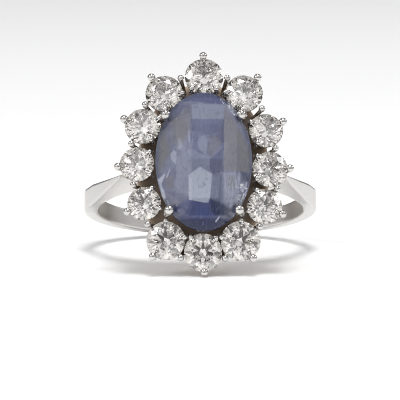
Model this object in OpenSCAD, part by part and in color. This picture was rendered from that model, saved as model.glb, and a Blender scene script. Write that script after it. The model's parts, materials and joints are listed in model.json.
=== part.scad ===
// Cluster ring: an oval sapphire in a circle of twelve brilliant cut diamonds,
// claw set in white gold on a band whose shoulders rise to a knife edge.
// Each module below draws the ring standing on its band, with the finger hole along Y
// and the stones on top. The last module lays it on its side, where it rests by itself.

/* [Band] */
// Diameter of the finger hole
bore_d = 17.4; // [17.1:0.1:17.6]
// Wall of the band behind and at its sides
band_wall = 1.15; // [1.05:0.05:1.3]
// Width of the band at its sides, along the finger
band_w = 1.68; // [1.6:0.02:1.8]
// Width of the band at its back, along the finger
back_w = 1.48; // [1.4:0.02:1.56]
// Height above the finger's axis where the straight shoulders begin
shoulder_low = 0.95; // [0.8:0.05:1.2]
// Distance between the tops of the two shoulders
shoulder_span = 13.2; // [13:0.1:13.4]
// Wall of the flat bridge under the stones
bridge_wall = 1.38; // [1.26:0.04:1.46]
// Lean of each shoulder's knife edge away from the level
ridge_lean = 46.7; // [46:0.1:48]
// Slope of the bevels that meet in the knife edge
bevel = 13.2; // [12.6:0.2:13.8]

/* [Diamonds] */
// Distance between the middles of the two side diamonds
cluster_w = 10.86; // [10.8:0.02:11]
// Distance between the middles of the end diamonds
cluster_l = 14.74; // [14.7:0.02:14.9]
// Height of the diamonds' girdles above the finger's axis
cluster_h = 13.5; // [13.4:0.05:13.6]
// Outward lean of each diamond
splay = 8; // [7:0.5:9]
// Width of a diamond's table, as a share of its diameter
table_share = 0.56; // [0.53:0.01:0.6]
// Slope of a diamond's main crown facets
crown_slope = 34; // [32:0.5:35]
// Slope of a diamond's main pavilion facets
pavilion_slope = 41; // [40:0.5:42]
// Thickness of a diamond's girdle
girdle = 0.08; // [0.06:0.01:0.1]

/* [Sapphire] */
// Width of the sapphire
sapphire_w = 7.88; // [7.82:0.02:7.96]
// Length of the sapphire
sapphire_l = 11.56; // [11.48:0.02:11.64]
// Height of the sapphire's girdle above the diamonds' girdles
sapphire_lift = 0.88; // [0.84:0.01:0.95]
// Height of the sapphire's crown
crown_h = 1.25; // [1.1:0.05:1.4]
// Depth of the sapphire's pavilion
pavilion_h = 3.4; // [3.3:0.05:3.5]

/* [Setting] */
// Clear space between a stone and the metal around it
gap = 0.03; // [0.02:0.01:0.04]
// Wall of the cone under each diamond
collet_wall = 0.24; // [0.22:0.01:0.26]
// Height of the cone under each diamond
collet_h = 2.5; // [2.45:0.05:2.6]
// Radius of the bead on each diamond's outer claw
outer_bead = 0.33; // [0.31:0.01:0.35]
// Radius of the beads between two diamonds
shared_bead = 0.28; // [0.26:0.01:0.3]
// Radius of the beads on each diamond's two inner claws
inner_bead = 0.23; // [0.21:0.01:0.24]
// Radius of the beads on the sapphire's four claws
sapphire_bead = 0.4; // [0.38:0.01:0.42]

/* [Hidden] */
DIAMONDS = 12;
$fn = 64;

gold = [0.86, 0.86, 0.85];
sapphire_blue = [0.36, 0.42, 0.68];
diamond_white = [0.93, 0.94, 0.93];

// One row for each diamond, clockwise from the top end: its place round the cluster's oval
// in degrees, its distance out as a share of the oval, its diameter, and where its outer
// claw stands, in degrees clockwise from the top.
PLACE = 0;
OUT = 1;
DIAMETER = 2;
CLAW = 3;
STONES = [
    [1, 1, 3.15, 358],
    [37.5, 1.02, 3.1, 41],
    [68, 1.02, 2.8, 63],
    [93.5, 1, 2.95, 89],
    [118, 1.03, 2.9, 115],
    [148, 1.03, 3.25, 146],
    [181, 1, 3.1, 177],
    [213.5, 1.04, 3.15, 218],
    [243.5, 1, 2.75, 242],
    [270, 1, 2.85, 261],
    [295.5, 1.01, 2.95, 290],
    [324, 1, 3.05, 322],
];

bore_r = bore_d / 2;
band_r = bore_r + band_wall;
shoulder_side = sqrt(pow(band_r, 2) - pow(shoulder_low, 2));
shoulder_x = shoulder_span / 2;
bridge_z = bore_r + bridge_wall;
band_sides = 180;
far = 40;

// The sapphire's levels, from the table down. A level's outline is a rectangle grown all
// round by an oval: the first two columns are the rectangle's half width and half length,
// the next two the oval's, all as shares of the stone's own. Then come how far the level
// is off centre, as a share of half the width, and its height over the girdle. Each facet
// lies between two levels.
SQUARE_W = 0;
SQUARE_L = 1;
ROUND_W = 2;
ROUND_L = 3;
SHIFT = 4;
LEVEL = 5;
edge_t = 0.15;
SAPPHIRE_LEVELS = [
    [0.315, 0.56, 0.02, 0.015, 0.076, crown_h],
    [0.32, 0.222, 0.31, 0.59, 0.046, crown_h * 0.68],
    [0, 0, 1, 1, 0, edge_t / 2],
    [0, 0, 1, 1, 0, -edge_t / 2],
    [0, 0.03, 0.79, 0.78, 0, -pavilion_h * 0.42],
    [0, 0.1, 0.42, 0.38, 0, -pavilion_h * 0.8],
    [0, 0.13, 0.05, 0.035, 0, -pavilion_h],
];
TOP_STEP = SAPPHIRE_LEVELS[1];
TOP_EDGE = SAPPHIRE_LEVELS[2];
SAPPHIRE_SIDES = 12;
sapphire_z = cluster_h + sapphire_lift;

// Each diamond stands in an open cone, whose lower end is this share of its own size.
collet_taper = 0.62;
seat_depth = girdle / 2 + collet_wall * tan(pavilion_slope) + 2 * gap;

// A diamond's claw grows out of its cone this share of the way down. Every claw passes its
// stone's edge with some room and bends in to a bead, whose middle leans out of the edge.
// Its elbow is a little thicker than its wire.
claw_root = 0.7;
claw_room = 0.08;
elbow_swell = 0.01;
outer_lean = 0.1;
outer_wire = 0.16;
inner_lean = 0;
inner_wire = 0.14;
inner_turn = 40;

// An inner claw goes on past its bead as a thin nib, this far over the crown and with this
// much more clear space under it.
nib_over = 0.35;
nib_r = 0.125;
nib_room = 0.06;

// The claw between two diamonds stands at least this far outside the line between their
// middles.
shared_wire = 0.18;
shared_out = 0.6;

// The sapphire's claws: how far from the ring's width the pair nearer the lowest diamond is
// turned, and then the other pair. Their feet stand on the bridge, nearer the middle than
// the stone's edge by a share.
sapphire_turns = [35, 30];
sapphire_foot = 0.6;
sapphire_lean = 0.1;
sapphire_wire = 0.28;

// The oval through the feet of the twelve cones, the flat rail that carries them, which
// reaches in by more than it reaches out, and the cones that stand it on the shoulders.
rail_x = cluster_w / 2 - collet_h * sin(splay);
rail_y = cluster_l / 2 - collet_h * sin(splay);
rail_w = 0.75;
rail_in = 1.55;
rail_t = 0.65;
rail_z = cluster_h - collet_h - rail_t / 2;
post_depth = 1.3;
post_low_r = 0.3;
post_top_r = 0.75;

// Middle lines of the basket's two rails, the lower on the bridge and the upper close
// under the sapphire, and their square sections.
foot_x = 2.5;
foot_y = 3.55;
foot_w = 0.6;
seat_x = 3.15;
seat_y = 4.7;
seat_w = 0.45;
seat_depth_share = 0.56;
seat_z = sapphire_z - pavilion_h * seat_depth_share - seat_w;

// The ring lies on the elbow of its lowest diamond's outer claw and on the band's back
// edge. The bead of that claw reaches farthest forwards.
LOWEST = 6;
rest_elbow = in_head(LOWEST, claw_elbow(LOWEST, claw_turn(LOWEST), outer_wire));
rest_r = outer_wire + elbow_swell;
rest_reach = rest_elbow[2] + band_r;
rest_drop = -rest_elbow[1] - back_w / 2;
rest_tilt = atan2(rest_drop, rest_reach) + asin(rest_r / norm([rest_reach, rest_drop]));
rest_lift = band_r * sin(rest_tilt) + back_w / 2 * cos(rest_tilt);
front_bead = in_head(LOWEST, claw_tip(LOWEST, claw_turn(LOWEST), outer_bead, outer_lean));
front_y = front_bead[1] * sin(rest_tilt) - front_bead[2] * cos(rest_tilt) - outer_bead;
back_y = band_r * cos(rest_tilt) + back_w / 2 * sin(rest_tilt);

function pick(i) = STONES[(i + DIAMONDS) % DIAMONDS];

function place(i) =
    let (s = pick(i))
    s[OUT] / 2 * [cluster_w * sin(s[PLACE]), cluster_l * cos(s[PLACE])];

// Direction straight out of the oval at a diamond, in degrees clockwise from the top.
function outward(i) =
    let (s = pick(i))
    atan2(sin(s[PLACE]) / cluster_w, cos(s[PLACE]) / cluster_l);

function claw_turn(i) = pick(i)[CLAW] - outward(i);

// The outline of an oval, half its width and half its length given.
function oval(half_w, half_l) = [for (a = [0:7.5:352.5]) [half_w * cos(a), half_l * sin(a)]];

// A point at a radius, a turn clockwise from straight out, and a height.
function around(r, turn, z) = [r * sin(turn), r * cos(turn), z];

// A point given beside a diamond, in the whole ring.
function in_head(i, p) =
    let (
        out = p[1] * cos(splay) + p[2] * sin(splay),
        up = p[2] * cos(splay) - p[1] * sin(splay),
        a = outward(i)
    )
    [
        place(i)[0] + p[0] * cos(a) + out * sin(a),
        place(i)[1] - p[0] * sin(a) + out * cos(a),
        cluster_h + up,
    ];

// How high over a stone's edge a bead's middle stands, to clear a crown of that slope.
function bead_rise(bead_r, lean, slope) = (bead_r + gap - lean * sin(slope)) / cos(slope);

// Where a claw of diamond number i bends in, given beside the diamond.
function claw_elbow(i, turn, wire_r) =
    around(pick(i)[DIAMETER] / 2 + claw_room + wire_r, turn, -girdle / 2);

// Middle of the bead on a claw of diamond number i, given beside the diamond.
function claw_tip(i, turn, bead_r, lean) =
    around(
        pick(i)[DIAMETER] / 2 + lean,
        turn,
        girdle / 2 + bead_rise(bead_r, lean, crown_slope)
    );

// The point outside the oval that is r1 from p1 and r2 from p2, or farther out where the
// two stand far apart.
function outer_meet(p1, r1, p2, r2) =
    let (
        d = norm(p2 - p1),
        along = (r1 * r1 - r2 * r2 + d * d) / (2 * d),
        e = (p2 - p1) / d
    )
    p1 + along * e + max(shared_out, sqrt(max(0, r1 * r1 - along * along))) * [-e[1], e[0]];

// How far out a level of the sapphire reaches in direction a.
function reach(l, a) =
    let (w = sapphire_w / 2 * cos(a), h = sapphire_l / 2 * sin(a))
    l[SQUARE_W] * abs(w) + l[SQUARE_L] * abs(h) + norm([l[ROUND_W] * w, l[ROUND_L] * h])
    + l[SHIFT] * w;

// Corner of a sapphire level between its sides number k and k + 1.
function corner(l, k) =
    let (
        a = 360 / SAPPHIRE_SIDES * k,
        b = a + 360 / SAPPHIRE_SIDES,
        s = sin(b - a)
    )
    [
        (reach(l, a) * sin(b) - reach(l, b) * sin(a)) / s,
        (reach(l, b) * cos(a) - reach(l, a) * cos(b)) / s,
        l[LEVEL],
    ];

// Faces between stacked levels of n points each, from the lowest up, with closed ends.
function stacked_faces(levels, n) =
    concat(
        [[for (k = [0:n - 1]) k]],
        [
            for (j = [0:levels - 2], k = [0:n - 1])
                [j * n + k, (j + 1) * n + k, (j + 1) * n + (k + 1) % n, j * n + (k + 1) % n]
        ],
        [[for (k = [n - 1:-1:0]) (levels - 1) * n + k]]
    );

module rod(from, to, r) {
    run = to - from;
    translate(from)
        rotate([0, acos(run[2] / norm(run)), atan2(run[1], run[0])])
            cylinder(h = norm(run), r = r);
}

module bead(at, r) {
    translate(at)
        sphere(r);
}

module at_diamond(i) {
    translate([place(i)[0], place(i)[1], cluster_h])
        rotate([-splay, 0, -outward(i)])
            children();
}

// Outline of the band seen along the finger: round behind, with straight shoulders that
// lean in to a flat bridge under the stones.
module band_outline() {
    difference() {
        circle(r = band_r, $fn = band_sides);
        translate([-far, shoulder_low])
            square([2 * far, far]);
    }
    polygon([
        [-shoulder_side, shoulder_low],
        [shoulder_side, shoulder_low],
        [shoulder_x, bridge_z],
        [-shoulder_x, bridge_z],
    ]);
}

// Everything between the two bevels of the shoulder on the +X side.
module between_bevels() {
    ridge = shoulder_x * cos(ridge_lean) + bridge_z * sin(ridge_lean);
    rotate([0, -ridge_lean, 0])
        linear_extrude(2 * far, center = true)
            polygon([
                [ridge, 0],
                [-far, (ridge + far) * tan(bevel)],
                [-far, -(ridge + far) * tan(bevel)],
            ]);
}

// Everything between the band's two side faces, which close in towards its back.
module between_sides() {
    rotate([90, 0, 90])
        linear_extrude(2 * far, center = true)
            polygon([
                [-back_w / 2, -band_r - 1],
                [back_w / 2, -band_r - 1],
                [back_w / 2, -band_r],
                [band_w / 2, 0],
                [band_w / 2, far],
                [-band_w / 2, far],
                [-band_w / 2, 0],
                [-back_w / 2, -band_r],
            ]);
}

module band() {
    difference() {
        intersection() {
            rotate([90, 0, 0])
                linear_extrude(2 * band_w, center = true)
                    band_outline();
            between_sides();
            between_bevels();
            mirror([1, 0, 0])
                between_bevels();
        }
        rotate([90, 0, 0])
            cylinder(h = far, r = bore_r, center = true, $fn = band_sides);
    }
}

// An oval rail, half its width and half its length at the middle of its section, which
// is w wide and t high.
module oval_rail(half_w, half_l, w, t) {
    linear_extrude(t)
        difference() {
            polygon(oval(half_w + w / 2, half_l + w / 2));
            polygon(oval(half_w - w / 2, half_l - w / 2));
        }
}

// The open cone under diamond number i, with its outer claw and its two inner claws.
module collet(i) {
    r = pick(i)[DIAMETER] / 2;
    rotate_extrude()
        polygon([
            [r - collet_wall, -seat_depth],
            [r - gap, -seat_depth],
            [r * collet_taper, -collet_h],
            [r * collet_taper - collet_wall, -collet_h],
        ]);
    claw(i, claw_turn(i), outer_bead, outer_lean, outer_wire);
    for (side = [-1, 1]) {
        turn = 180 + side * inner_turn;
        nib_end = claw_tip(i, turn, nib_r + nib_room, -nib_over);
        claw(i, turn, inner_bead, inner_lean, inner_wire);
        rod(claw_tip(i, turn, inner_bead, inner_lean), nib_end, nib_r);
        bead(nib_end, nib_r + elbow_swell);
    }
}

// A claw: a wire from its foot to the elbow beside the stone's edge, where it bends in
// over the stone to end in a bead.
module bent_claw(foot, side, tip, wire_r, bead_r) {
    rod(foot, side, wire_r);
    bead(side, wire_r + elbow_swell);
    rod(side, tip, wire_r);
    bead(tip, bead_r);
}

// One claw of diamond number i, beside the diamond.
module claw(i, turn, bead_r, lean, wire_r) {
    r = pick(i)[DIAMETER] / 2;
    bent_claw(
        around(r * (1 - (1 - collet_taper) * claw_root), turn, -collet_h * claw_root),
        claw_elbow(i, turn, wire_r),
        claw_tip(i, turn, bead_r, lean),
        wire_r,
        bead_r
    );
}

// The claw between diamond number i and the next, which stands on the rail.
module shared_claw(i) {
    reach_out = shared_bead + gap;
    between = outer_meet(
        place(i), pick(i)[DIAMETER] / 2 + reach_out,
        place(i + 1), pick(i + 1)[DIAMETER] / 2 + reach_out
    );
    bent_claw(
        (in_head(i, [0, 0, -collet_h]) + in_head(i + 1, [0, 0, -collet_h])) / 2,
        concat(between, cluster_h - seat_depth),
        concat(between, cluster_h + shared_bead / 2),
        shared_wire,
        shared_bead
    );
}

// The basket under the sapphire: four leaning claws, a rail close under the stone and a
// rail that is soldered to the bridge.
module basket() {
    for (side = [0, 1], end = [0, 1])
        mirror([side, 0, 0])
            mirror([0, 1 - end, 0])
                sapphire_claw(sapphire_turns[end]);
    translate([0, 0, seat_z])
        oval_rail(seat_x, seat_y, seat_w, seat_w);
    translate([0, 0, bridge_z - foot_w / 4])
        oval_rail(foot_x, foot_y, foot_w, foot_w);
}

// One claw of the sapphire, from the bridge up the side of the basket.
module sapphire_claw(turn) {
    dir = [cos(turn), sin(turn)];
    out = reach(TOP_EDGE, turn);
    edge = [pow(sapphire_w / 2, 2) * dir[0], pow(sapphire_l / 2, 2) * dir[1]] / out;
    slope = atan2(TOP_STEP[LEVEL] - TOP_EDGE[LEVEL], out - reach(TOP_STEP, turn));
    rise = bead_rise(sapphire_bead, sapphire_lean, slope);
    beside = edge + (claw_room + sapphire_wire) * dir;
    bent_claw(
        concat(sapphire_foot * beside, bridge_z),
        concat(beside, sapphire_z - edge_t / 2),
        concat(edge + sapphire_lean * dir, sapphire_z + edge_t / 2 + rise),
        sapphire_wire,
        sapphire_bead
    );
}

// The rail under the twelve cones, the two cones that stand it on the shoulders and the
// two bars that tie it to the basket at the ends.
module gallery() {
    post_z = bridge_z - post_depth;
    bar_z = bridge_z + foot_w / 6;
    translate([0, 0, rail_z])
        oval_rail(rail_x - rail_in / 2, rail_y - rail_in / 2, rail_w + rail_in, rail_t);
    for (side = [-1, 1]) {
        translate([side * rail_x, 0, post_z])
            cylinder(h = rail_z + rail_t / 2 - post_z, r1 = post_low_r, r2 = post_top_r);
        translate([-rail_w / 2, side > 0 ? foot_y : -rail_y, bar_z])
            cube([rail_w, rail_y - foot_y, rail_z + rail_t / 3 - bar_z]);
    }
}

module ring_mount() {
    color(gold)
        union() {
            band();
            gallery();
            basket();
            for (i = [0:DIAMONDS - 1]) {
                at_diamond(i)
                    collet(i);
                shared_claw(i);
            }
        }
}

module sapphire() {
    levels = len(SAPPHIRE_LEVELS);
    color(sapphire_blue)
        translate([0, 0, sapphire_z])
            intersection() {
                polyhedron(
                    [
                        for (j = [levels - 1:-1:0], k = [0:SAPPHIRE_SIDES - 1])
                            corner(SAPPHIRE_LEVELS[j], k)
                    ],
                    stacked_faces(levels, SAPPHIRE_SIDES)
                );
                linear_extrude(2 * far, center = true)
                    polygon(oval(sapphire_w / 2, sapphire_l / 2));
            }
}

// A round brilliant of radius 1 at the origin, scaled to radius r: table, eight stars,
// eight kites and sixteen upper halves over the girdle, sixteen lower halves and eight
// mains under it.
module brilliant(r) {
    half_g = girdle / 2 / r;
    table_r = table_share;
    crown = (1 - table_r) * tan(crown_slope);
    star_r = (table_r * cos(22.5) + 1) / 2;
    star_z = half_g + (1 - star_r * cos(22.5)) * tan(crown_slope);
    low_r = 0.3;
    low_z = -half_g - (1 - low_r * cos(22.5)) * tan(pavilion_slope);
    culet_z = -half_g - tan(pavilion_slope);
    points = concat(
        [for (k = [0:7]) [table_r * cos(45 * k), table_r * sin(45 * k), half_g + crown]],
        [for (k = [0:7]) [star_r * cos(45 * k + 22.5), star_r * sin(45 * k + 22.5), star_z]],
        [for (k = [0:15]) [cos(22.5 * k), sin(22.5 * k), half_g]],
        [for (k = [0:15]) [cos(22.5 * k), sin(22.5 * k), -half_g]],
        [for (k = [0:7]) [low_r * cos(45 * k + 22.5), low_r * sin(45 * k + 22.5), low_z]],
        [[0, 0, culet_z]]
    );
    star = 8;
    top = 16;
    under = 32;
    low = 48;
    culet = 56;
    faces = concat(
        [[for (k = [7:-1:0]) k]],
        [
            for (k = [0:7])
                let (n = (k + 1) % 8, p = (k + 7) % 8, g = 2 * k)
                each [
                    [k, n, star + k],
                    [k, star + k, top + g, star + p],
                    [star + k, top + g + 1, top + g],
                    [star + k, top + (g + 2) % 16, top + g + 1],
                    [low + k, under + g, under + g + 1],
                    [low + k, under + g + 1, under + (g + 2) % 16],
                    [culet, low + p, under + g, low + k],
                ]
        ],
        [
            for (k = [0:15])
                let (n = (k + 1) % 16)
                [top + k, top + n, under + n, under + k]
        ]
    );
    scale(r)
        polyhedron(points, faces);
}

module diamond(i) {
    color(diamond_white)
        at_diamond(i)
            brilliant(pick(i)[DIAMETER] / 2);
}

// Turns the standing ring onto its side and sets its lowest points on the surface.
module laid_down() {
    translate([0, -(front_y + back_y) / 2, rest_lift])
        rotate([90 - rest_tilt, 0, 0])
            children();
}

laid_down() ring_mount();
laid_down() sapphire();
for (i = [0:DIAMONDS - 1])
    laid_down() diamond(i);
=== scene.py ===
import json
from math import atan2, cos, pi, radians, sin, sqrt, tan

import bmesh
import bpy
import numpy as np
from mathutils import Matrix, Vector


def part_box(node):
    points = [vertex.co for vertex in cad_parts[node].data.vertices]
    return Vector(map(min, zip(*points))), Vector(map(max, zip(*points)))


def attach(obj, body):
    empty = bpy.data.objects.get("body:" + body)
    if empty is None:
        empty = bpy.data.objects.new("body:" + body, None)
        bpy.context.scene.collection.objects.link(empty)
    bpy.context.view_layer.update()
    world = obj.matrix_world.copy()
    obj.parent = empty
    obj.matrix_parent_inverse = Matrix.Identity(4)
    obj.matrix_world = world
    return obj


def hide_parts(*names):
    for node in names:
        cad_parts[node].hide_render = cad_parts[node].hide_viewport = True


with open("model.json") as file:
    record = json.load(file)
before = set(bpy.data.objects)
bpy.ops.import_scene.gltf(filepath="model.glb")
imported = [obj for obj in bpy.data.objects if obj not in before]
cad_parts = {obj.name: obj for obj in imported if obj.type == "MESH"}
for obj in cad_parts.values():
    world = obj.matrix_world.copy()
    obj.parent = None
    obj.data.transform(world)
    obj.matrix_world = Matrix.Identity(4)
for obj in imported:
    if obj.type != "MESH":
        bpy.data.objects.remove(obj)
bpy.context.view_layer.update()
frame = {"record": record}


# How the ring lies. A goldsmith works on it standing, with the finger hole level and the
# stones on top, so every piece below is shaped that way and in millimetres. The packed
# record's finger hole gives the turn that lays it on its side, where it rests.
finger_hole = frame["record"]["mounts"][0]
hole_centre = np.array(finger_hole["pos_m"])
along_y, along_z = finger_hole["axis"][1:]
MM = 0.001


def lie_down(p):
    """Points of the standing ring, in millimetres, turned about X so that the finger hole's
    axis points the record's way, moved to the hole's middle and given in metres."""
    x, y, z = np.moveaxis(np.asarray(p, float), -1, 0)
    turned = np.stack([x, y * along_y - z * along_z, y * along_z + z * along_y], -1)
    return hole_centre + MM * turned


def finish_piece(name, bm, material, smooth):
    """A piece from a closed skin: doubled points joined, faces turned outwards, riding on
    the ring."""
    bmesh.ops.remove_doubles(bm, verts=bm.verts, dist=2e-7)
    bmesh.ops.recalc_face_normals(bm, faces=bm.faces)
    mesh = bpy.data.meshes.new(name)
    bm.to_mesh(mesh)
    bm.free()
    mesh.polygons.foreach_set("use_smooth", np.full(len(mesh.polygons), smooth))
    mesh.materials.append(material)
    piece = bpy.data.objects.new(name, mesh)
    bpy.context.scene.collection.objects.link(piece)
    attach(piece, "root")
    return piece


def skin_faces(n, m, looped):
    """Quads between the neighbours of an n by m grid that closes across its rows, and
    along them too if it is looped."""
    i, j = np.meshgrid(np.arange(n if looped else n - 1), np.arange(m), indexing="ij")
    down, over = (i + 1) % n * m, (j + 1) % m
    return np.stack([i * m + j, down + j, down + over, i * m + over], -1).reshape(-1, 4)


def skins(name, grids, material, looped):
    """One piece from several grids of points of the standing ring. Each row of a grid is a
    closed section. An open grid is closed at both ends with a fan to the middle of its
    first and of its last section."""
    points, faces, start = [], [], 0
    for grid in grids:
        if not looped:
            first, last = grid[0].mean(0), grid[-1].mean(0)
            ends = [np.broadcast_to(e, (1, *grid.shape[1:])) for e in (first, last)]
            grid = np.concatenate([ends[0], grid, ends[1]])
        n, m = grid.shape[:2]
        points.append(lie_down(grid).reshape(-1, 3))
        faces.append(skin_faces(n, m, looped) + start)
        start += n * m
    mesh = bpy.data.meshes.new(name + "_skin")
    mesh.from_pydata(np.concatenate(points), [], np.concatenate(faces).tolist())
    bm = bmesh.new()
    bm.from_mesh(mesh)
    bpy.data.meshes.remove(mesh)
    return finish_piece(name, bm, material, True)


def polish(grid, passes, axis):
    """Rounds edges as a buffing wheel does: each point moves to the mean of itself and of
    the mean of its two neighbours along one axis of a closed grid, a number of times."""
    for _ in range(passes):
        grid = grid / 2 + (np.roll(grid, 1, axis) + np.roll(grid, -1, axis)) / 4
    return grid


# Node materials. Effects are placed on the standing ring, in millimetres, so that they
# follow its own parts.
def node_adder(tree):
    """A short way to add a node to a tree, set its values and link what comes in."""
    def add(kind, values=None, settings=None):
        node = tree.nodes.new("ShaderNode" + kind)
        for key, value in (settings or {}).items():
            setattr(node, key, value)
        for key, value in (values or {}).items():
            if isinstance(value, bpy.types.NodeSocket):
                tree.links.new(value, node.inputs[key])
            else:
                node.inputs[key].default_value = value
        return node

    return add


def new_material(name):
    """An empty node material, its Principled shader and its way to add a node."""
    material = bpy.data.materials.new(name)
    material.use_nodes = True
    tree = material.node_tree
    return material, tree.nodes["Principled BSDF"], node_adder(tree)


def standing_place(add):
    """Where a point lies on the standing ring, in millimetres."""
    return add("Mapping", {
        "Vector": add("TexCoord").outputs["Object"],
        "Location": hole_centre,
        "Rotation": (atan2(along_z, along_y), 0, 0),
        "Scale": (MM, MM, MM),
    }, {"vector_type": "TEXTURE"}).outputs[0]


def fade(add, value, low, high):
    """0 below low and 1 above high, or the other way round if low is the higher one."""
    flip = low > high
    return add("MapRange", {
        "Value": value,
        "From Min": min(low, high), "From Max": max(low, high),
        "To Min": float(flip), "To Max": float(not flip),
    }, {"interpolation_type": "SMOOTHSTEP"}).outputs["Result"]


def times(add, a, b):
    """The product of two masks, or of a mask and a share."""
    return add("Math", {0: a, 1: b}, {"operation": "MULTIPLY"}).outputs[0]


def blend(add, factor, a, b):
    """Colour a where the factor is 0 and b where it is 1."""
    return add("Mix", {"Factor": factor, "A": a, "B": b}, {"data_type": "RGBA"}).outputs["Result"]


# White gold. All the metal is one polished alloy, a little warm, rougher with wear in the bore.
# Painted shade, with some tarnish and old polish, turns it taupe under the girdles and brown in
# the depths between the stones and in nooks, and a painted reflection of the head's brown
# underside lies on the bore's sides.
bore_r = finger_hole["dims"]["r_mm"]
bridge_z = bore_r + 1.38
cluster_w, cluster_l, cluster_h, splay = 10.86, 14.74, 13.5, radians(8)


def from_middle_of(add, place, width, length):
    """How far a place lies from the ring's middle, as a share of an oval's half size."""
    share = {0: place, 1: (2 / width, 2 / length, 0)}
    oval = add("VectorMath", share, {"operation": "MULTIPLY"}).outputs[0]
    return add("VectorMath", {0: oval}, {"operation": "LENGTH"}).outputs["Value"]


def white_gold_material(name):
    """Painted shade, with some old polish: the depths, what lies inside the diamonds' oval, under
    their girdles and above the bridge, turn brown and dull, metal under the girdles turns taupe,
    and every nook that little open air reaches turns darker brown. A painted reflection of the
    head's brown underside lies on the bore's sides."""
    material, shader, add = new_material(name)
    place = standing_place(add)
    z = add("SeparateXYZ", {"Vector": place}).outputs["Z"]
    inside = fade(add, from_middle_of(add, place, cluster_w, cluster_l), 1.36, 1.14)
    over_bridge = fade(add, z, bridge_z - 1, bridge_z - 0.1)
    # Painted shade, with some tarnish: metal under the girdles turns taupe.
    low = times(add, fade(add, z, cluster_h - 0.2, cluster_h - 0.8), over_bridge)
    deeper = times(add, fade(add, z, cluster_h - 0.7, cluster_h - 1.7), over_bridge)
    deep = times(add, inside, deeper)
    # Painted shade: nooks that little open air reaches turn dark brown.
    open_air = add("AmbientOcclusion", {"Distance": 0.0009}, {"samples": 8}).outputs["AO"]
    nook = fade(add, open_air, 0.55, 0.1)
    # Painted reflection: on the bore's sides, where they would mirror the head's brown underside, the
    # metal turns brown.
    on_sides = times(add, fade(add, z, -5.5, -3.6), fade(add, z, 1, -0.4))
    off_axle = add("VectorMath", {0: place, 1: (1, 0, 1)}, {"operation": "MULTIPLY"}).outputs[0]
    from_axle = add("VectorMath", {0: off_axle}, {"operation": "LENGTH"}).outputs["Value"]
    on_bore = fade(add, from_axle, bore_r + 0.12, bore_r + 0.02)
    head_reflection = times(add, on_sides, on_bore)
    # Colours: the bright metal, taupe of painted shade with tarnish, brown of the painted reflection,
    # brown of painted shade with old polish, and darker brown of shaded nooks.
    clean, taupe, reflected_brown = (0.68, 0.665, 0.645, 1), (0.45, 0.4, 0.35, 1), (0.3, 0.265, 0.235, 1)
    shade_and_polish_brown, nook_brown = (0.48, 0.38, 0.29, 1), (0.24, 0.18, 0.14, 1)
    colour = blend(add, low, clean, taupe)
    colour = blend(add, times(add, head_reflection, 0.75), colour, reflected_brown)
    colour = blend(add, deep, colour, shade_and_polish_brown)
    colour = blend(add, times(add, nook, 0.85), colour, nook_brown)
    # Where painted shade and old polish lie, the metal loses its shine.
    shade_and_polish = add("Math", {0: deep, 1: nook}, {"operation": "MAXIMUM"}).outputs[0]
    tree = material.node_tree
    tree.links.new(colour, shader.inputs["Base Color"])
    tree.links.new(fade(add, shade_and_polish, 1, 0), shader.inputs["Metallic"])
    roughness = add("Math", {0: on_bore, 1: 0.3, 2: 0.16}, {"operation": "MULTIPLY_ADD"}).outputs[0]
    tree.links.new(roughness, shader.inputs["Roughness"])
    return material


white_gold = white_gold_material("white_gold")


# Band. One bar of white gold bent round the finger: a squared section at the sides and
# behind, and straight shoulders whose two bevels meet in a knife edge near the stones.
band_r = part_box("ring_mount")[1].x / MM
side_half, back_half = 0.84, 0.74
shoulder_low, shoulder_x = 0.95, 6.6
ridge_lean, bevel = radians(46.7), radians(13.2)
STATIONS, FACE_STEPS, SIDE_STEPS = 480, 20, 22


def band_grid():
    """Sections of the band at equal turns round the finger. Seen along the finger, the
    outline is a circle up to the shoulders, then a straight line to each shoulder's top,
    then level. A section runs across the bore, out along one side, across the outside and
    back. Its half width is the side faces' or the bevels', whichever is less."""
    turn = np.linspace(0, 2 * pi, STATIONS, endpoint=False)
    way = np.stack([np.sin(turn), -np.cos(turn)], -1)
    low = np.array([sqrt(band_r**2 - shoulder_low**2), shoulder_low])
    run = np.array([shoulder_x, bridge_z]) - low
    square_on = np.array([run[1], -run[0]])
    outwards = np.abs(way[:, 0]) * square_on[0] + way[:, 1] * square_on[1]
    shoulder = square_on @ low / np.maximum(outwards, 1e-6)
    level = bridge_z / np.maximum(way[:, 1], 1e-6)
    straight = way[:, 1] > shoulder_low / band_r
    outer = np.where(straight, np.minimum(shoulder, level), band_r)

    across = np.linspace(-1, 1, FACE_STEPS, endpoint=False)
    out = np.linspace(0, 1, SIDE_STEPS, endpoint=False)
    depth = np.concatenate([0 * across, out, 0 * across + 1, 1 - out])
    width = np.concatenate([across, 0 * out + 1, -across, 0 * out - 1])
    r = bore_r + (outer[:, None] - bore_r) * depth
    x, z = r * way[:, :1], r * way[:, 1:]
    half = side_half + (back_half - side_half) * np.clip(-z / band_r, 0, 1)
    ridge = shoulder_x * cos(ridge_lean) + bridge_z * sin(ridge_lean)
    below_ridge = ridge - np.abs(x) * cos(ridge_lean) - z * sin(ridge_lean)
    half = np.clip(below_ridge * tan(bevel), 0.02, half)
    return np.stack([x, width * half, z], -1)


band = skins("band", [polish(polish(band_grid(), 5, 1), 5, 0)], white_gold, looped=True)
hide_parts("ring_mount")


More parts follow.
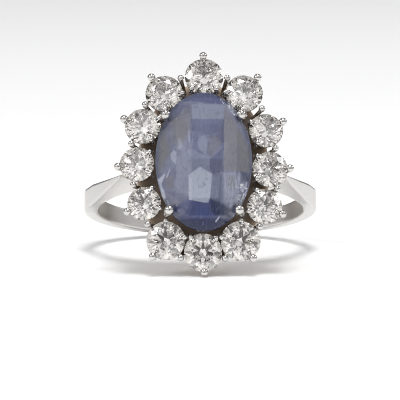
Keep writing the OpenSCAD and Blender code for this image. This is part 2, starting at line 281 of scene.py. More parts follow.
# Gallery. Under the twelve cones runs an oval rail, and two short cones stand it on the
# band's shoulders. A second pair of rails makes the basket under the sapphire.
sapphire_z, pavilion_h = cluster_h + 0.88, 3.4
collet_h = 2.5
rail_x = cluster_w / 2 - collet_h * sin(splay)
rail_y = cluster_l / 2 - collet_h * sin(splay)
rail_w, rail_in, rail_t = 0.75, 1.55, 0.65
rail_z = cluster_h - collet_h - rail_t / 2
seat_x, seat_y, seat_w, seat_share = 3.15, 4.7, 0.45, 0.56
foot_x, foot_y, foot_w, foot_sunk = 2.5, 3.55, 0.6, 0.15
post_depth, post_rise, post_low_r, post_top_r = 1.3, 0.33, 0.3, 0.75
bar_from, bar_past, bar_z, bar_slope, bar_r = 3.4, 0.2, bridge_z + 0.5, 0.1, 0.32


def rail(half_w, half_l, low_z, w, t):
    """A rail round an oval: a superellipse section, w wide and t high, carried along the
    oval square to it."""
    a = np.linspace(0, 2 * pi, 160, endpoint=False)[:, None]
    b = np.linspace(0, 2 * pi, 28, endpoint=False)[None]
    rounded = lambda c: np.sign(c) * np.abs(c) ** 0.5
    out, up = rounded(np.cos(b)) * w / 2, rounded(np.sin(b)) * t / 2
    long = np.hypot(half_l * np.cos(a), half_w * np.sin(a))
    x = half_w * np.cos(a) + out * half_l * np.cos(a) / long
    y = half_l * np.sin(a) + out * half_w * np.sin(a) / long
    return np.stack([x, y, low_z + t / 2 + up + 0 * a], -1)


gallery = skins("gallery", [
    rail(rail_x - rail_in / 2, rail_y - rail_in / 2, rail_z, rail_w + rail_in, rail_t),
    rail(seat_x, seat_y, sapphire_z - pavilion_h * seat_share - seat_w, seat_w, seat_w),
    rail(foot_x, foot_y, bridge_z - foot_sunk, foot_w, foot_w),
], white_gold, looped=True)
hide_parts("ring_mount")


def tube(path, radii, sides=24):
    """Round sections of the given radii, square to a path that stays in one upright plane
    or nearly, with the ring's length as the direction that they are turned from."""
    path = np.asarray(path, float)
    run = np.gradient(path, axis=0)
    run /= np.linalg.norm(run, axis=1)[:, None]
    across = np.cross(run, np.array([0.31, 0.94, 0.13]))
    across /= np.linalg.norm(across, axis=1)[:, None]
    up = np.cross(run, across)
    b = np.linspace(0, 2 * pi, sides, endpoint=False)
    ring = across[:, None] * np.cos(b)[:, None] + up[:, None] * np.sin(b)[:, None]
    return path[:, None] + np.asarray(radii)[:, None, None] * ring


def post(x):
    """A cone that stands the rail on a shoulder, widening upwards."""
    low, high = bridge_z - post_depth, rail_z + post_rise
    s = np.linspace(0, 1, 12)
    path = np.stack([0 * s + x, 0 * s, low + (high - low) * s], -1)
    return tube(path, post_low_r + (post_top_r - post_low_r) * s**1.6, 32)


def bar(side):
    """A bar that ties the rail to the basket's foot at one end of the ring."""
    s = np.linspace(0, 1, 10)
    y = side * (bar_from + (rail_y + bar_past - bar_from) * s)
    return tube(np.stack([0 * s, y, bar_z + bar_slope * s], -1), 0 * s + bar_r, 24)


struts = skins("struts", [post(-rail_x), post(rail_x), bar(-1), bar(1)], white_gold, looped=False)
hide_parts("ring_mount")


# Settings of the diamonds. Each diamond stands in an open cone of white gold that leans out
# with it. Four kinds of claw hold the stones, all drawn wire melted to a ball at the tip.
STONES = [
    # place round the oval in degrees, share of the oval, diameter, outer claw in degrees
    (1, 1, 3.15, 358),
    (37.5, 1.02, 3.1, 41),
    (68, 1.02, 2.8, 63),
    (93.5, 1, 2.95, 89),
    (118, 1.03, 2.9, 115),
    (148, 1.03, 3.25, 146),
    (181, 1, 3.1, 177),
    (213.5, 1.04, 3.15, 218),
    (243.5, 1, 2.75, 242),
    (270, 1, 2.85, 261),
    (295.5, 1.01, 2.95, 290),
    (324, 1, 3.05, 322),
]
girdle, gap, collet_wall, collet_taper = 0.08, 0.03, 0.24, 0.62
crown_slope, pavilion_slope = radians(34), radians(41)
claw_root, claw_room = 0.7, 0.08
outer_bead, outer_lean, outer_wire = 0.33, 0.1, 0.16
inner_bead, inner_lean, inner_wire, inner_turn = 0.23, 0, 0.14, radians(40)
nib_r, nib_room, nib_over = 0.135, 0.05, 0.35
shared_bead, shared_wire, shared_out, shared_elbow = 0.28, 0.18, 0.6, 0.31


def place(i):
    """Middle of diamond i's girdle, clockwise round an oval from the top end."""
    at, out = radians(STONES[i % 12][0]), STONES[i % 12][1] / 2
    return np.array([out * cluster_w * sin(at), out * cluster_l * cos(at)])


def outward(i):
    """Direction straight out of the oval at diamond i, clockwise from the top."""
    at = radians(STONES[i % 12][0])
    return atan2(sin(at) / cluster_w, cos(at) / cluster_l)


def in_head(i, p):
    """Points beside diamond i, whose +Y is straight out, leaned and turned with it into
    the standing ring."""
    p, a = np.asarray(p, float), outward(i)
    out = p[..., 1] * cos(splay) + p[..., 2] * sin(splay)
    up = p[..., 2] * cos(splay) - p[..., 1] * sin(splay)
    x = place(i)[0] + p[..., 0] * cos(a) + out * sin(a)
    y = place(i)[1] - p[..., 0] * sin(a) + out * cos(a)
    return np.stack([x, y, cluster_h + up], -1)


def collet(i):
    """The open cone under diamond i: a closed profile of its wall, rounded at both rims,
    turned about the stone's axis."""
    r = STONES[i][2] / 2
    top = -(girdle / 2 + collet_wall * tan(pavilion_slope) + 2 * gap)
    corners = np.array([
        [r - collet_wall, top], [r - gap, top],
        [r * collet_taper, -collet_h], [r * collet_taper - collet_wall, -collet_h],
    ])
    s = np.linspace(0, 1, 9, endpoint=False)[:, None]
    profile = np.concatenate([a + (b - a) * s for a, b in zip(corners, np.roll(corners, -1, 0))])
    profile = polish(profile, 1, 0)
    a = np.linspace(0, 2 * pi, 48, endpoint=False)[:, None]
    out, up = profile[None, :, 0], profile[None, :, 1] + 0 * a
    return in_head(i, np.stack([out * np.sin(a), out * np.cos(a), up], -1))


def claw(foot, side, tip, wire_r, bead_r):
    """A wire from its foot to the elbow beside the stone and in to its tip, rounded at the
    elbow. Its radius is the wire's, or that of the ball round the tip where it is more."""
    foot, side, tip = (np.asarray(p, float) for p in (foot, side, tip))
    lead = (tip - side) / np.linalg.norm(tip - side)
    end = tip + lead * bead_r
    s = np.linspace(0, 1, 14, endpoint=False)[:, None]
    t = (1 - np.cos(np.linspace(0, pi, 26))[:, None]) / 2
    neck = tip - lead * bead_r
    first, second = foot + (side - foot) * s, side + (neck - side) * s
    path = np.concatenate([first, second[:6], neck + (end - neck) * t])
    path[1:18] = (path[:17] + 2 * path[1:18] + path[2:19]) / 4
    d = np.linalg.norm(path - tip, axis=1)
    ball = np.sqrt(np.maximum(bead_r**2 - d**2, 0))
    past = (path - tip) @ lead > 0
    return tube(path, np.where(past, ball, np.maximum(ball, wire_r)), 24)


def around(r, turn, z):
    """A point beside a diamond at a radius, a turn from straight out and a height."""
    return np.array([r * sin(turn), r * cos(turn), z])


def over_crown(i, turn, ball_r, lean):
    """Middle of a ball that clears diamond i's crown, out of the stone's edge by a lean."""
    rise = (ball_r + gap - lean * sin(crown_slope)) / cos(crown_slope)
    return around(STONES[i][2] / 2 + lean, turn, girdle / 2 + rise)


def diamond_claw(i, turn, bead_r, lean, wire_r):
    """A claw of diamond i that grows out of its cone."""
    r = STONES[i][2] / 2
    points = [
        around(r * (1 - (1 - collet_taper) * claw_root), turn, -collet_h * claw_root),
        around(r + claw_room + wire_r, turn, -girdle / 2),
        over_crown(i, turn, bead_r, lean),
    ]
    return claw(*in_head(i, points), wire_r, bead_r)


def nib(i, turn):
    """The thin end of an inner claw, which goes on past its bead over the crown."""
    root = over_crown(i, turn, inner_bead, inner_lean)
    end = over_crown(i, turn, nib_r + nib_room, -nib_over)
    return claw(*in_head(i, [root, (root + end) / 2, end]), inner_wire, nib_r)


def shared_claw(i):
    """The claw outside diamond i and the next, close to the edge of both, and always some
    way outside the line between their middles."""
    p, q = place(i), place(i + 1)
    r1, r2 = (STONES[k % 12][2] / 2 + shared_bead + gap for k in (i, i + 1))
    d = np.linalg.norm(q - p)
    e = (q - p) / d
    along = (r1**2 - r2**2 + d**2) / (2 * d)
    clear = sqrt(max(0, r1**2 - along**2))
    at = p + along * e + max(shared_out, clear) * np.array([-e[1], e[0]])
    foot = (in_head(i, [0, 0, -collet_h]) + in_head(i + 1, [0, 0, -collet_h])) / 2
    side, tip = [*at, cluster_h - shared_elbow], [*at, cluster_h + shared_bead / 2]
    return claw(foot, side, tip, shared_wire, shared_bead)


for i in range(12):
    name = f"collet_{i + 1:02d}"
    piece = skins(name, [collet(i)], white_gold, looped=True)
    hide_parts("ring_mount")
    outer_turn = radians(STONES[i][3]) - outward(i)
    inner_turns = pi + inner_turn, pi - inner_turn
    piece = skins(f"claws_{i + 1:02d}", [
        diamond_claw(i, outer_turn, outer_bead, outer_lean, outer_wire),
        *(diamond_claw(i, turn, inner_bead, inner_lean, inner_wire) for turn in inner_turns),
        *(nib(i, turn) for turn in inner_turns),
        shared_claw(i),
    ], white_gold, looped=False)
    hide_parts("ring_mount")


# Diamonds. Twelve round brilliants with a table, 32 more crown facets and 24 pavilion
# facets, each cut flat out of a round rough stone.
table_share, low_share = 0.56, 0.3


def plane_through(p, q, r):
    """Outward unit normal and distance from the middle of the plane through three points."""
    p, q, r = (np.asarray(v, float) for v in (p, q, r))
    n = np.cross(q - p, r - p)
    n /= np.linalg.norm(n)
    d = n @ p
    return (n, d) if d > 0 else (-n, -d)


def cut_stone(outline, high, low, cuts):
    """A prism of that outline cut flat on each plane in turn, as a lapidary grinds facets."""
    bm = bmesh.new()
    top = [bm.verts.new((x, y, high)) for x, y in outline]
    bottom = [bm.verts.new((x, y, low)) for x, y in outline]
    bm.faces.new(top)
    bm.faces.new(bottom[::-1])
    for k in range(len(outline)):
        n = (k + 1) % len(outline)
        bm.faces.new([top[n], top[k], bottom[k], bottom[n]])
    for normal, d in cuts:
        geom = [*bm.verts, *bm.edges, *bm.faces]
        bmesh.ops.bisect_plane(
            bm, geom=geom, dist=2e-5, plane_co=Vector(normal * d), plane_no=Vector(normal),
            clear_outer=True,
        )
        bmesh.ops.holes_fill(bm, edges=[e for e in bm.edges if e.is_boundary], sides=0)
    bmesh.ops.recalc_face_normals(bm, faces=bm.faces)
    return bm


def around_unit(r, k, z):
    """A point at a radius, a sixteenth turn number k and a height."""
    return np.array([r * cos(pi / 8 * k), r * sin(pi / 8 * k), z])


def brilliant_cuts(half_g):
    """The 57 facets of a round brilliant of radius 1 and half girdle half_g, each through
    three of its corners. The lower halves of the pavilion meet at a share of its radius."""
    table, low_r = table_share, low_share
    high = half_g + (1 - table) * tan(crown_slope)
    star_r = (table * cos(pi / 8) + 1) / 2
    star_z = half_g + (1 - star_r * cos(pi / 8)) * tan(crown_slope)
    low_z = -half_g - (1 - low_r * cos(pi / 8)) * tan(pavilion_slope)
    cuts = [(np.array([0, 0, 1.0]), high)]
    for k in range(0, 16, 2):
        star, next_star = around_unit(star_r, k + 1, star_z), around_unit(star_r, k - 1, star_z)
        low, next_low = around_unit(low_r, k + 1, low_z), around_unit(low_r, k - 1, low_z)
        cuts += [
            plane_through(around_unit(1, k, half_g), star, next_star),
            plane_through(around_unit(table, k, high), around_unit(table, k + 2, high), star),
            plane_through(around_unit(1, k, half_g), around_unit(1, k + 1, half_g), star),
            plane_through(around_unit(1, k + 2, half_g), around_unit(1, k + 1, half_g), star),
            plane_through(around_unit(1, k, -half_g), low, next_low),
            plane_through(around_unit(1, k, -half_g), around_unit(1, k + 1, -half_g), low),
            plane_through(around_unit(1, k + 2, -half_g), around_unit(1, k + 1, -half_g), low),
        ]
    return cuts


def diamond_material(name, colour, roughness, specular):
    """Clear diamond with a tint, polish and surface gloss for one kind of facet. The darker tints of the
    kites and the upper halves are painted shade.
    """
    material, shader, add = new_material(name)
    shader.inputs["Base Color"].default_value = colour
    shader.inputs["Roughness"].default_value = roughness
    shader.inputs["Specular IOR Level"].default_value = specular
    shader.inputs["IOR"].default_value = 2.417
    shader.inputs["Transmission Weight"].default_value = 1
    return material


def stone_to_ring(bm, place_points):
    """Moves a cut stone's points, given in its own frame, into the lying ring."""
    points = np.array([v.co for v in bm.verts])
    for vert, co in zip(bm.verts, lie_down(place_points(points))):
        vert.co = co


# The kites and the upper halves take darker, less glossy copies of the diamond: painted shade that
# darkens the stones' outer ring.
FACETS = [
    # how far a facet's outward direction points along the stone's axis, its material
    (cos(crown_slope) + 0.01, diamond_material("diamond", (1, 0.975, 0.945, 1), 0, 0.5)),
    (cos(crown_slope) - 0.01, diamond_material("diamond_kites_shaded", (0.76, 0.72, 0.67, 1), 0, 0.4)),
    (0.01, diamond_material("diamond_halves_shaded", (0.42, 0.39, 0.35, 1), 0, 0.25)),
    (-0.01, diamond_material("bruted_girdle", (0.4, 0.36, 0.31, 1), 0.5, 0.25)),
]
round_rough = [(cos(a), sin(a)) for a in np.linspace(0, 2 * pi, 96, endpoint=False)]
for i, stone in enumerate(STONES):
    r = stone[2] / 2
    bm = cut_stone(round_rough, 1, -1.2, brilliant_cuts(girdle / 2 / r))
    for face in bm.faces:
        above = [face.normal.z > least for least, _ in FACETS]
        face.material_index = above.index(True) if any(above) else 0
    stone_to_ring(bm, lambda p: in_head(i, p * r))
    piece = finish_piece(f"diamond_cut_{i + 1:02d}", bm, FACETS[0][1], False)
    for _, material in FACETS[1:]:
        piece.data.materials.append(material)
    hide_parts(f"diamond_{i + 1:02d}")


# Sapphire. An oval stone cut in steps, with a long table a little to one side, a crown of
# two steps and a deeper pavilion of three. Its colour is a soft greyish blue.
sapphire_w, sapphire_l, crown_h, edge_t = 7.88, 11.56, 1.25, 0.15
LEVELS = [
    # square width and length, round width and length, shift, height
    (0.315, 0.56, 0.02, 0.015, 0.076, crown_h),
    (0.32, 0.222, 0.31, 0.59, 0.046, crown_h * 0.68),
    (0, 0, 1, 1, 0, edge_t / 2),
    (0, 0, 1, 1, 0, -edge_t / 2),
    (0, 0.03, 0.79, 0.78, 0, -pavilion_h * 0.42),
    (0, 0.1, 0.42, 0.38, 0, -pavilion_h * 0.8),
    (0, 0.13, 0.05, 0.035, 0, -pavilion_h),
]


def reach(level, a):
    """How far out a level reaches in direction a: a rectangle grown by an oval."""
    square_w, square_l, round_w, round_l, shift, _ = level
    w, l = sapphire_w / 2 * cos(a), sapphire_l / 2 * sin(a)
    return square_w * abs(w) + square_l * abs(l) + np.hypot(round_w * w, round_l * l) + shift * w


def sapphire_cuts():
    """A flat facet on each of twelve sides between each two levels, the table and the keel."""
    cuts = [(np.array([0, 0, 1.0]), crown_h), (np.array([0, 0, -1.0]), pavilion_h)]
    for upper, lower in zip(LEVELS, LEVELS[1:]):
        if upper[-1] == edge_t / 2:
            continue
        for a in np.linspace(0, 2 * pi, 12, endpoint=False):
            n = np.array([upper[-1] - lower[-1], reach(lower, a) - reach(upper, a)])
            n /= np.hypot(*n)
            d = n @ [reach(upper, a), upper[-1]]
            cuts.append((np.array([n[0] * cos(a), n[0] * sin(a), n[1]]), d))
    return cuts


PALE, MIST, TAUPE = (0.58, 0.62, 0.76, 1), (0.34, 0.37, 0.5, 1), (0.245, 0.24, 0.26, 1)
VIOLET, DEEP, INK = (0.17, 0.18, 0.3, 1), (0.07, 0.085, 0.25, 1), (0.035, 0.05, 0.1, 1)
ABYSS, OLIVE, DUSK = (0.01, 0.015, 0.11, 1), (0.215, 0.225, 0.235, 1), (0.12, 0.13, 0.2, 1)
STEEL, ROYAL, SPARK = (0.3, 0.32, 0.45, 1), (0.06, 0.11, 0.33, 1), (0.95, 0.97, 1, 1)
SLATE = (0.19, 0.2, 0.33, 1)
# The zones' corners lie across and along the stone, in units a little under a millimetre.
zone_scale, zone_shift = 1.04, (0.02, 0.08)
# Painted light and shade: paler, greyer and deeper patches where the pavilion's facets throw light back
# through the table, and a dark foot end.
PAINTED_ZONES = [
    # colour, strength, softness, corners
    (OLIVE, 0.95, 0.35, (-3.75, 2.7), (-2.4, 3.5), (-2.25, 1.8), (-2.8, 0.8), (-2.45, -0.85),
     (-3.95, -0.85)),
    (OLIVE, 0.6, 0.4, (-3, 3.9), (-1.4, 3.6), (-1.7, 1.5), (-2.7, 1.5)),
    (TAUPE, 0.6, 0.12, (-3.35, -1.35), (-2.55, -1.35), (-2.5, -2.4), (-3.15, -2.5)),
    (TAUPE, 0.5, 0.05, (-1, 4.85), (-1, 3.5), (-2.55, 3.5), (-2.2, 4.1)),
    (TAUPE, 0.6, 0.05, (1.75, 4.65), (2.75, 3.35), (1.75, 3.35)),
    (TAUPE, 0.75, 0.05, (1.75, 3.35), (2.75, 3.35), (2.85, -0.95), (1.65, -0.95)),
    (TAUPE, 0.9, 0.08, (2.75, 3.1), (3.95, 1.2), (3.95, -0.95), (2.9, -0.95)),
    (DEEP, 0.6, 0.08, (-3.4, 4.9), (-1, 4.85), (1.7, 4.85), (3, 4.7), (2, 6), (-2, 6)),
    (MIST, 0.9, 0.04, (-1, 4.85), (1.7, 4.85), (1.7, 3.5), (-1, 3.5)),
    (VIOLET, 0.7, 0.06, (-1.15, 3.45), (1.75, 3.45), (1.75, 1.8), (0.55, 2.1), (-1.15, 1.45)),
    (MIST, 0.6, 0.1, (-1.1, 0.9), (0.55, 0.05), (0.5, -0.55), (-1.3, -1.55), (-2.35, -1.55),
     (-2.35, 0.25)),
    (MIST, 0.5, 0.08, (-2.35, -1.55), (-1.3, -1.55), (-1.3, -3), (-2.55, -2.7)),
    (MIST, 0.9, 0.05, (0.5, 2.1), (-0.2, 2), (-0.6, 1.55), (-0.35, 0.8), (0.35, 0.15), (0.3, 1.05)),
    (TAUPE, 0.5, 0.05, (0.55, 2.05), (1.1, 2.05), (1.5, 1.5), (1.4, 1.05), (0.55, 0.1), (0.25, 0.7)),
    (TAUPE, 0.6, 0.25, (-2.5, 3.4), (-1.2, 3.4), (-1.2, 1.9), (-2.2, 1.2)),
    (VIOLET, 0.9, 0.06, (1.65, 1), (1.55, -1.1), (0.8, -1.35), (0.5, -0.9), (0.5, -0.05)),
    (VIOLET, 0.6, 0.2, (-3.25, -2.5), (-1.2, -3.2), (-1.2, -4.35), (-2.75, -4.35), (-3.25, -3.5)),
    (MIST, 0.35, 0.05, (0.8, -1.35), (1.5, -1.1), (1.3, -3.65), (1.15, -3.9), (0.55, -3.4), (0.55, -1.9)),
    (PALE, 0.35, 0.1, (1.55, -1.2), (2.7, -1.05), (2.75, -3.65), (1.55, -3.75)),
    (OLIVE, 0.55, 0.15, (2, -1.4), (2.6, -1.4), (2.6, -2.6), (2, -2.6)),
    (DEEP, 0.75, 0.25, (-1.3, -3.4), (0.55, -3.5), (1.45, -4.35), (0.85, -6.55), (-2.15, -5.6),
     (-2.75, -4.2)),
    (ROYAL, 0.5, 0.4, (-0.35, -4.1), (0.45, -4.1), (0.5, -5.3), (-0.2, -5.6), (-0.95, -5)),
    (INK, 0.75, 0.15, (0.55, -3.5), (1.1, -3.6), (2.4, -4.3), (2.35, -4.9), (0.9, -4.7), (0.45, -4.3)),
    (ABYSS, 1, 0.15, (-4, -5), (4, -5), (4, -7), (-4, -7)),
    (INK, 0.3, 0.05, (1.38, -1.3), (1.5, -1.3), (1.28, -4.1), (1.12, -4.1)),
    (INK, 0.6, 0.15, (3.1, -0.95), (3.9, -0.95), (3.85, -1.85), (3.2, -1.9)),
    (PALE, 1, 0.05, (-0.35, -0.65), (0.69, -1.3), (0.5, -3.35), (0.35, -3.75), (0, -3.75),
     (-1.3, -3.5), (-1.3, -1.4)),
    (PALE, 0.7, 0.06, (-2.55, 0.9), (-2.3, 0.7), (-2.3, 0.25), (-2.4, -0.35), (-2.75, 0.1), (-2.8, 0.6)),
    (PALE, 0.4, 0.12, (-2.15, 1.9), (-1.9, 1.75), (-1.85, 1), (-2.15, 0.95)),
]
# Painted glints: small highlights, most near the stone's sides.
GLINTS = [
    # colour, strength, softness, corners
    (PALE, 1, 0.06, (-3.3, -1.05), (-3.25, -1.2), (-3.6, -1.95), (-3.9, -1.55)),
    (PALE, 1, 0.08, (-3.85, -1.55), (-3.6, -1.85), (-3.2, -3.1), (-3.45, -3.3)),
    (PALE, 0.9, 0.04, (-2.9, -0.7), (-2.85, -0.85), (-3.1, -1.45), (-3.2, -1.45)),
    (PALE, 0.5, 0.05, (-3.15, -3.3), (-3.05, -3.3), (-2.75, -4.1), (-2.85, -4.15)),
    (PALE, 0.45, 0.04, (-1.3, 2.5), (-1.2, 2.5), (-1.15, 1.5), (-1.3, 1.5)),
    (PALE, 0.3, 0.04, (-0.95, 2.3), (-0.85, 2.3), (-0.9, 1.4), (-1, 1.4)),
    (PALE, 0.9, 0.05, (3.25, -2.1), (3.5, -2.2), (3.3, -2.75), (3.05, -2.6)),
    (PALE, 0.7, 0.04, (3.55, -1.75), (3.7, -1.8), (3.6, -2.3), (3.45, -2.2)),
    (PALE, 0.7, 0.04, (2.9, -2.9), (3.05, -2.95), (2.85, -3.5), (2.75, -3.4)),
    (PALE, 0.8, 0.04, (3.3, -2.95), (3.4, -3), (3.15, -3.55), (3.05, -3.45)),
    (PALE, 1, 0.03, (1.25, -4.85), (1.33, -4.92), (1, -5.33), (0.9, -5.25)),
]
SILKY = [(1.6, -1.2), (3.6, -1), (3.2, -4.2), (1.6, -4)]
# Where painted sparkles lie.
SPARKLING = [(2.8, -1.8), (3.8, -1.8), (3.6, -3.4), (2.8, -3.6)]


def zone(add, flat, softness, corners):
    """1 inside an outline that is nowhere hollow, as the stone is seen from above, and 0
    outside it: the farthest that a point lies past any side, faded over the softness."""
    corners = np.array(corners)
    past = None
    for a, b in zip(corners, np.roll(corners, -1, 0)):
        out = np.array([b[1] - a[1], a[0] - b[0]]) / np.linalg.norm(b - a)
        out *= np.sign(out @ (a - corners.mean(0)))
        line = {0: flat, 1: (*out, -out @ a)}
        beyond = add("VectorMath", line, {"operation": "DOT_PRODUCT"}).outputs["Value"]
        both = {0: beyond, 1: beyond if past is None else past}
        past = add("Math", both, {"operation": "MAXIMUM"}).outputs[0]
    return fade(add, past, softness, -softness)


def streaks(add, place, scale, turn, values):
    """Noise drawn out along the stone, from 0 to 1: a small scale makes long streaks."""
    drawn = {"Vector": place, "Scale": scale, "Rotation": (0, 0, turn)}
    vector = add("Mapping", drawn).outputs[0]
    return add("TexNoise", {"Vector": vector, "Scale": 1, **values}).outputs["Fac"]


def zoning_and_painted_light():
    """A node group that gives a place on the stone its colour: greyish blue with cloudy growth
    bands, and painted over it the light and shade of the pavilion's facets seen through the
    table as paler, greyer and deeper zones, painted shade in a dark rim round the edge, and
    painted glints and sparkles."""
    group = bpy.data.node_groups.new("zoning_and_painted_light", "ShaderNodeTree")
    group.interface.new_socket("Place", in_out="INPUT", socket_type="NodeSocketVector")
    group.interface.new_socket("Colour", in_out="OUTPUT", socket_type="NodeSocketColor")
    place = group.nodes.new("NodeGroupInput").outputs["Place"]
    add = node_adder(group)
    spread = {0: place, 1: (zone_scale, zone_scale, 0), 2: (*zone_shift, 1)}
    flat = add("VectorMath", spread, {"operation": "MULTIPLY_ADD"}).outputs[0]
    cloud = add("TexNoise", {"Vector": place, "Scale": 0.8, "Detail": 5, "Roughness": 0.65})
    colour = blend(add, fade(add, cloud.outputs["Fac"], 0.3, 0.7), SLATE, STEEL)
    from_middle = from_middle_of(add, place, sapphire_w, sapphire_l)
    # Painted shade: a dark rim round the stone's edge.
    rim = times(add, fade(add, from_middle, 0.88, 0.98), 0.5)
    for table in (PAINTED_ZONES, GLINTS):
        for tone, strength, softness, *corners in table:
            mask = zone(add, flat, softness, corners)
            colour = blend(add, times(add, mask, strength), colour, tone)
        if table is PAINTED_ZONES:
            colour = blend(add, rim, colour, INK)
    grain = add("TexNoise", {"Vector": place, "Scale": 2.2, "Detail": 6, "Roughness": 0.7})
    grainy = fade(add, grain.outputs["Fac"], 0.5, 0.75)
    colour = blend(add, times(add, grainy, 0.35), colour, INK)
    fibres = streaks(add, place, (7, 1.6, 2), -0.1, {"Detail": 6, "Roughness": 0.75})
    colour = blend(add, times(add, fade(add, fibres, 0.52, 0.7), 0.4), colour, MIST)
    colour = blend(add, times(add, fade(add, fibres, 0.48, 0.3), 0.45), colour, DUSK)
    silk = streaks(add, place, (5, 0.8, 1), 0.15, {"Detail": 4, "Distortion": 0.8})
    silky = times(add, fade(add, silk, 0.5, 0.66), zone(add, flat, 0.6, SILKY))
    colour = blend(add, times(add, silky, 0.55), colour, PALE)
    # Painted sparkles: bright spots of noise in one patch.
    spots = add("TexNoise", {"Vector": place, "Scale": 4.5, "Detail": 2, "Roughness": 0.6})
    sparkling = fade(add, spots.outputs["Fac"], 0.57, 0.64)
    sparkling = times(add, sparkling, zone(add, flat, 0.25, SPARKLING))
    colour = blend(add, sparkling, colour, SPARK)
    group.links.new(colour, group.nodes.new("NodeGroupOutput").inputs["Colour"])
    return group


def sapphire_material(name, zones, specular):
    """Cloudy sapphire: partly clear, with the colour, painted light and painted shade of its zones and a
    blue depth of its own.
    """
    material, shader, add = new_material(name)
    painted = add("Group", {"Place": standing_place(add)}, {"node_tree": zones})
    tree = material.node_tree
    tree.links.new(painted.outputs["Colour"], shader.inputs["Base Color"])
    shader.inputs["Roughness"].default_value = 0.04
    shader.inputs["IOR"].default_value = 1.77
    shader.inputs["Specular IOR Level"].default_value = specular
    shader.inputs["Transmission Weight"].default_value = 0.4
    inside = add("VolumeAbsorption")
    inside.inputs["Color"].default_value = (0.55, 0.6, 0.8, 1)
    inside.inputs["Density"].default_value = 60
    tree.links.new(inside.outputs["Volume"], tree.nodes["Material Output"].inputs["Volume"])
    return material


oval_rough = [
    (sapphire_w / 2 * cos(a), sapphire_l / 2 * sin(a))
    for a in np.linspace(0, 2 * pi, 128, endpoint=False)
]
bm = cut_stone(oval_rough, 2, -4, sapphire_cuts())
# Crown facets at the foot end that face down the ring take a copy with a weaker reflection: painted shade
# that keeps them deep blue.
for face in bm.faces:
    face.material_index = face.normal.y < -0.5 and face.normal.z > 0.01
stone_to_ring(bm, lambda p: p + [0, 0, sapphire_z])
zones = zoning_and_painted_light()
piece = finish_piece("sapphire_cut", bm, sapphire_material("sapphire", zones, 0.5), False)
piece.data.materials.append(sapphire_material("sapphire_foot", zones, 0.1))
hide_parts("sapphire")


# Claws of the sapphire. Four heavier wires of white gold rise from the bridge through the
# basket, and their ends are melted to beads that hold the crown.
sapphire_bead, sapphire_wire, sapphire_lean, sapphire_root = 0.4, 0.28, 0.1, 0.6
head_turn, foot_turn = radians(30), radians(35)


def sapphire_claw(sx, sy):
    """The claw at one corner: its foot on the bridge, its elbow beside the stone's edge,
    and its bead just clear of the slope of the crown there."""
    bead_r, wire_r, lean = sapphire_bead, sapphire_wire, sapphire_lean
    turn = head_turn if sy > 0 else foot_turn
    way = np.array([cos(turn), sin(turn)])
    out = reach(LEVELS[2], turn)
    edge = np.array([(sapphire_w / 2) ** 2, (sapphire_l / 2) ** 2]) * way / out
    slope = atan2(LEVELS[1][-1] - LEVELS[2][-1], out - reach(LEVELS[1], turn))
    rise = edge_t / 2 + (bead_r + gap - lean * sin(slope)) / cos(slope)
    beside = edge + (claw_room + wire_r) * way
    points = np.array([
        [*(sapphire_root * beside), bridge_z],
        [*beside, sapphire_z - edge_t / 2],
        [*(edge + lean * way), sapphire_z + rise],
    ])
    return claw(*(points * [sx, sy, 1]), wire_r, bead_r)


corners = [(1, 1), (-1, 1), (-1, -1), (1, -1)]
piece = skins("sapphire_claws", [sapphire_claw(*c) for c in corners], white_gold, looped=False)
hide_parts("ring_mount")


# Stage: a plain pale floor that gives off a little light, as a light table does, a soft
# light overhead, one on each side, an even studio all round, and the camera.
def floor_plane(half=3.0):
    """A square floor of that half width, level with the ring's lowest points."""
    mesh = bpy.data.meshes.new("floor")
    square = [(-half, -half, 0), (half, -half, 0), (half, half, 0), (-half, half, 0)]
    mesh.from_pydata(square, [], [(0, 1, 2, 3)])
    material, shader, add = new_material("floor")
    shader.inputs["Base Color"].default_value = (0.93, 0.93, 0.93, 1)
    shader.inputs["Roughness"].default_value = 0.6
    shader.inputs["Emission Color"].default_value = (1, 1, 1, 1)
    shader.inputs["Emission Strength"].default_value = 0.12
    mesh.materials.append(material)
    floor = bpy.data.objects.new("floor", mesh)
    bpy.context.scene.collection.objects.link(floor)


floor_plane()


def soft_light(name, place, size, power):
    """A round soft light at a place, turned to the middle of the finger hole."""
    light = bpy.data.lights.new(name, "AREA")
    light.shape, light.size, light.energy = "DISK", size, power
    lamp = bpy.data.objects.new(name, light)
    lamp.location = place
    aim = Vector(hole_centre) - Vector(place)
    lamp.rotation_euler = aim.to_track_quat("-Z", "Y").to_euler()
    bpy.context.scene.collection.objects.link(lamp)


soft_light("softbox_top", (0.02, -0.05, 0.5), 0.2, 1.5)
soft_light("softbox_left", (-0.42, -0.1, 0.34), 0.24, 0.5)
soft_light("softbox_right", (0.42, 0.1, 0.3), 0.22, 0.35)


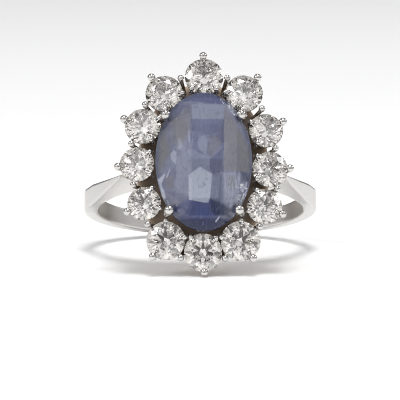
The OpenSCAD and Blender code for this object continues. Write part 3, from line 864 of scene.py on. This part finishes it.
def studio_world():
    """Even light from all round, darker in front, where the camera and the photographer
    stand, and there darkest in the middle. A soft pattern stands for the panels, gaps and
    furniture of a studio, which cut stones need to sparkle."""
    world = bpy.data.worlds.new("studio")
    world.use_nodes = True
    nodes, links = world.node_tree.nodes, world.node_tree.links
    background = nodes["Background"]
    where = nodes.new("ShaderNodeTexCoord")
    facing = nodes.new("ShaderNodeVectorMath")
    facing.operation = "DOT_PRODUCT"
    facing.inputs[1].default_value = (0, -0.97, 0.24)
    ramp = nodes.new("ShaderNodeValToRGB")
    ramp.color_ramp.interpolation = "EASE"
    for k, (at, grey) in enumerate([(0, 0.25), (0.45, 0.45), (0.9, 0.85), (0.985, 0.12)]):
        stop = ramp.color_ramp.elements[k] if k < 2 else ramp.color_ramp.elements.new(at)
        stop.position, stop.color = at, (grey, grey, grey * 1.01, 1)
    links.new(where.outputs["Generated"], facing.inputs[0])
    links.new(facing.outputs["Value"], ramp.inputs["Fac"])
    links.new(ramp.outputs["Color"], background.inputs["Color"])
    room = nodes.new("ShaderNodeTexNoise")
    room.inputs["Scale"].default_value = 5
    room.inputs["Detail"].default_value = 1
    panels = nodes.new("ShaderNodeMapRange")
    panels.inputs["From Min"].default_value = 0.38
    panels.inputs["From Max"].default_value = 0.62
    panels.inputs["To Min"].default_value = 0.4
    panels.inputs["To Max"].default_value = 1.45
    links.new(where.outputs["Generated"], room.inputs["Vector"])
    links.new(room.outputs["Fac"], panels.inputs["Value"])
    links.new(panels.outputs["Result"], background.inputs["Strength"])
    bpy.context.scene.world = world


studio_world()

camera_distance, camera_yaw, camera_drop = 0.333, radians(1.2), radians(13)
camera_focal_px, picture_px = 3920, 400
shift_right_px, shift_down_px = 0.3, 1.4
elevation = atan2(along_y, along_z) - camera_drop
lens = bpy.data.cameras.new("camera")
lens.lens = camera_focal_px / picture_px * lens.sensor_width
lens.shift_x = -shift_right_px / picture_px
lens.shift_y = shift_down_px / picture_px
lens.clip_start, lens.clip_end = 0.01, 20
camera = bpy.data.objects.new("camera", lens)
back = Vector((
    -sin(camera_yaw) * cos(elevation), -cos(camera_yaw) * cos(elevation), sin(elevation)
))
camera.location = Vector(hole_centre) + back * camera_distance
camera.rotation_euler = (-back).to_track_quat("-Z", "Y").to_euler()
scene = bpy.context.scene
scene.collection.objects.link(camera)
scene.camera = camera
scene.view_settings.view_transform = "Standard"
scene.cycles.filter_width = 1
scene.cycles.use_denoising = True
scene.cycles.max_bounces = 24
scene.cycles.transmission_bounces = 24
scene.cycles.glossy_bounces = 12
scene.cycles.transparent_max_bounces = 16
scene.cycles.sample_clamp_indirect = 12
